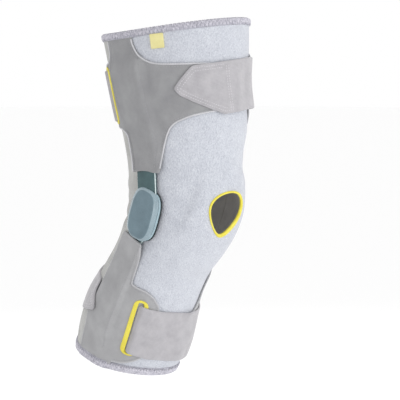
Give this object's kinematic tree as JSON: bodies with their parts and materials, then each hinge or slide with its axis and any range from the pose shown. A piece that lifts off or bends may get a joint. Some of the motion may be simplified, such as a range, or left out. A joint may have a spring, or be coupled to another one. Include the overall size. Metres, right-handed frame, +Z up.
{
  "type": "hinged knee brace",
  "caption": "Elastic knee sleeve with an open kneecap ring, hinged side arms in sewn pockets and wide wrap straps above and below the knee.",
  "frame": {"origin": "centre of the knee inside the sleeve, halfway through the bend of the leg's axis", "axes": "+Z up towards the thigh, -Y out of the kneecap opening, -X to the outer side of the right leg"},
  "size_m": [0.1442, 0.2034, 0.3457],
  "materials": {
    "front_knit": "heathered terry knit, pale bluish grey",
    "back_knit": "fine stretch knit, warm grey",
    "hem_thread": "overlocked thread, grey with dark flecks",
    "panel_cloth": "smooth laminated cloth, mid grey",
    "strap_loop": "brushed loop webbing, light grey",
    "yellow_binding": "folded elastic binding, yellow",
    "yellow_plastic": "moulded, yellow",
    "label_cloth": "plain woven tab, pale yellow",
    "hinge_plastic": "satin moulded, blue grey",
    "arm_metal": "dark anodised, satin"
  },
  "bodies": {
    "root": {"sleeve_front": "front_knit", "sleeve_back": "back_knit", "top_hem": "hem_thread", "bottom_hem": "hem_thread", "kneecap_ring": "yellow_binding", "label_tab": "label_cloth", "outer_upper_panel": "panel_cloth", "inner_upper_panel": "panel_cloth", "outer_lower_panel": "panel_cloth", "inner_lower_panel": "panel_cloth", "upper_slot_ring": "yellow_plastic", "lower_slot_ring": "yellow_plastic", "outer_hinge_base": "hinge_plastic", "outer_hinge_cover": "hinge_plastic", "outer_arm_upper": "arm_metal", "outer_arm_lower": "arm_metal", "inner_hinge_base": "hinge_plastic", "inner_hinge_cover": "hinge_plastic", "inner_arm_upper": "arm_metal", "inner_arm_lower": "arm_metal", "upper_strap": "strap_loop", "lower_strap": "strap_loop"}
  },
  "joints": []
}
